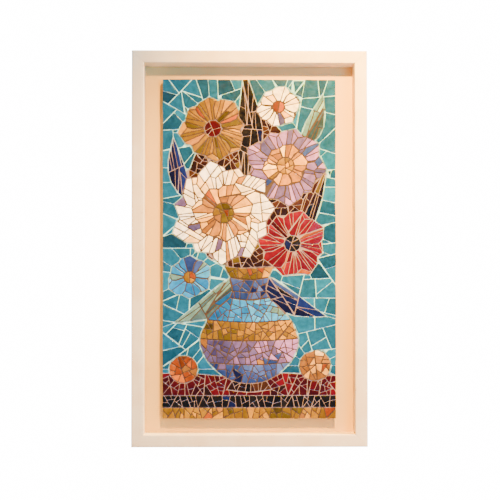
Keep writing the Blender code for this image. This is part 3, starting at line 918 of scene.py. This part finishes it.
moulding = {
    "round": 0.0013,            # rubbed arris at the face
    "crisp": 0.0005,            # other arrises
    "steps": 5,
    "stations": 40,
    "groove": 0.00030,          # fine open line at a mitre
    "mitreGap": 0.00004,
    "waver": 0.00010,           # planed by hand, so not quite true
}


def arc(corner, before, after, radius, steps):
    # rounds one corner of a profile
    a = (before - corner).normalized()
    b = (after - corner).normalized()
    start, end = corner + a * radius, corner + b * radius
    centre = start + b * radius
    points = []
    for i in range(steps + 1):
        turn = math.pi / 2 * i / steps
        points.append(centre - b * radius * math.cos(turn) - a * radius * math.sin(turn))
    points[0], points[-1] = start, end
    return points


def profile():
    # (in from the outer face, forward from the wall), with how rubbed each point is
    backing = boxOf["backing_board"]
    rebate = sideX - backing[1].x - 0.001
    ledge = -backing[0].y + 0.0003
    depth = -frontY
    corners = [(0, 0), (rebate, 0), (rebate, ledge), (faceWidth, ledge),
               (faceWidth, depth), (0, depth)]
    radii = [moulding["crisp"]] * 2 + [0, moulding["crisp"]] + [moulding["round"]] * 2
    corners = [Vector(c) for c in corners]
    points, rubbed = [], []
    for i, corner in enumerate(corners):
        after = corners[(i + 1) % len(corners)]
        if radii[i]:
            bend = arc(corner, corners[i - 1], after, radii[i], moulding["steps"])
        else:
            bend = [corner]
        for point in bend:
            points.append(point)
            rubbed.append(1.0 if radii[i] == moulding["round"] else 0.4 if radii[i] else 0.0)
        run = after - bend[-1]
        for k in range(1, 4):
            points.append(bend[-1] + run * (k / 4))
            rubbed.append(0.0)
    return points, rubbed


def makeMember(name, start, end, inward, material):
    points, rubbed = profile()
    ends = drawnIn(points, moulding["groove"])
    start, end, inward = Vector(start), Vector(end), Vector(inward)
    along = (end - start).normalized()
    length = (end - start).length
    gap = moulding["mitreGap"]
    groove = moulding["groove"] * 1.5
    stops = [gap, gap + groove]
    stops += [length * i / moulding["stations"] for i in range(1, moulding["stations"])]
    stops += [length - gap - groove, length - gap]
    chance = random.Random(name)
    drift = Vector((chance.uniform(0, 50), chance.uniform(0, 50), 0))
    sheet = bmesh.new()
    layer = sheet.verts.layers.float_color.new("rubbed")
    rings = []
    for number, stop in enumerate(stops):
        section = ends if number in (0, len(stops) - 1) else points
        share = stop / length
        ring = []
        for k, point in enumerate(section):
            near = start + (along + inward) * point.x + along * gap
            far = end + (inward - along) * point.x - along * gap
            if number < 2:
                place = near + along * (stop - gap)
            elif number > len(stops) - 3:
                place = far - along * (length - gap - stop)
            else:
                place = near + (far - near) * share
            bow = noise.noise(Vector((stop * 9, 0, 0)) + drift) * moulding["waver"]
            free = 1.0 if 2 <= number <= len(stops) - 3 and point.y > 0.03 else 0.0
            vertex = sheet.verts.new((place.x, -point.y + abs(bow) * free, place.y))
            vertex[layer] = (rubbed[k], rubbed[k], rubbed[k], 1.0)
            ring.append(vertex)
        rings.append(ring)
    count = len(points)
    for a, b in zip(rings, rings[1:]):
        for j in range(count):
            k = (j + 1) % count
            face = sheet.faces.new((a[j], a[k], b[k], b[j]))
            face.smooth = True
    sheet.faces.new(rings[0][::-1])
    sheet.faces.new(rings[-1])
    bmesh.ops.recalc_face_normals(sheet, faces=sheet.faces)
    for edge in sheet.edges:
        if len(edge.link_faces) == 2 and edge.calc_face_angle() > math.radians(35):
            edge.smooth = False
    piece = finishedPiece(name + "_moulding", sheet, material)
    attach(piece, "root")
    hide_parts(name)
    return piece


corners = [(-sideX, topZ), (sideX, topZ), (sideX, bottomZ), (-sideX, bottomZ)]
for name, first, inward, kind in (("frame_top_rail", 0, (0, -1), "rail"),
                                  ("frame_right_stile", 1, (-1, 0), "stile"),
                                  ("frame_bottom_rail", 2, (0, 1), "rail"),
                                  ("frame_left_stile", 3, (1, 0), "stile")):
    makeMember(name, corners[first], corners[(first + 1) % 4], inward, materials[kind])
print("frame mitred")


# Boards keep their solids and take their finish

for name, kind in (("backing_board", "backing"), ("mosaic_board", "board")):
    board = nodes[name]
    board.data.materials.clear()
    board.data.materials.append(materials[kind])


# Floor, light and air

studio = {
    "floor": (3.6, 1.10),           # metres across, and below the frame's foot
    "air": "#AACEFF",
    "airStrength": 0.36,
    "backdrop": 16.0,               # the pale sweep behind, burnt out to white
    # a warm lamp close by at the upper right, which casts the frame's shadow
    "key": {"kind": "SPOT", "place": (0.170, -0.838, 0.375), "aim": (0.285, -0.350),
            "size": 0.030, "power": 404.0, "tint": "#FFBA38", "cone": 75.0},
    # cool light from the room
    "fill": {"kind": "AREA", "place": (0.95, -2.0, -0.15), "aim": (0, -0.35), "size": 0.8,
             "power": 50.0, "tint": "#5AB2FF"},
    # skims in over the right stile to the frame's bottom and left inner walls
    "rake": {"kind": "AREA", "place": (1.5, -0.36, 1.7), "aim": (-0.05, -0.4), "size": 0.4,
             "power": 290.0, "tint": "#FFEACC"},
    # for a look at the back
    "behind": {"kind": "AREA", "place": (-1.2, 2.2, 0.9), "aim": (0, -0.35), "size": 1.0,
               "power": 70.0, "tint": "#FFF6EA"},
}


def makeFloor():
    size, below = studio["floor"]
    bpy.ops.mesh.primitive_plane_add(size=size, location=(0, -0.2, bottomZ - below))
    floor = bpy.context.object
    floor.name = "studio_floor"
    floor.data.materials.append(materials["floor"])


def makeLight(name):
    settings = studio[name]
    data = bpy.data.lights.new(name, settings["kind"])
    if settings["kind"] == "SPOT":
        data.shadow_soft_size = settings["size"]
        data.spot_size = math.radians(settings["cone"])
        data.spot_blend = 1.0
    else:
        data.shape = "DISK"
        data.size = settings["size"]
    data.energy = settings["power"]
    data.color = hexToLinear(settings["tint"])
    light = bpy.data.objects.new(name, data)
    light.location = settings["place"]
    aim = Vector((settings["aim"][0], frontY, settings["aim"][1])) - light.location
    light.rotation_euler = aim.to_track_quat("-Z", "Y").to_euler()
    bpy.context.scene.collection.objects.link(light)


def makeAir():
    # soft cool air for the object, and a white sweep for the lens to look at
    world = bpy.data.worlds.new("studio air")
    world.use_nodes = True
    soft = world.node_tree.nodes["Background"]
    soft.inputs["Color"].default_value = rgba(studio["air"])
    soft.inputs["Strength"].default_value = studio["airStrength"]
    sweep = addNode(world, "ShaderNodeBackground",
                    {"Color": (1.0, 1.0, 1.0, 1.0), "Strength": studio["backdrop"]})
    seen = addNode(world, "ShaderNodeLightPath").outputs["Is Camera Ray"]
    both = addNode(world, "ShaderNodeMixShader",
                   links={0: seen, 1: soft.outputs[0], 2: sweep.outputs[0]})
    output = world.node_tree.nodes["World Output"]
    world.node_tree.links.new(both.outputs[0], output.inputs["Surface"])
    bpy.context.scene.world = world


makeFloor()
for name in ("key", "fill", "rake", "behind"):
    makeLight(name)
makeAir()
print("studio lit")
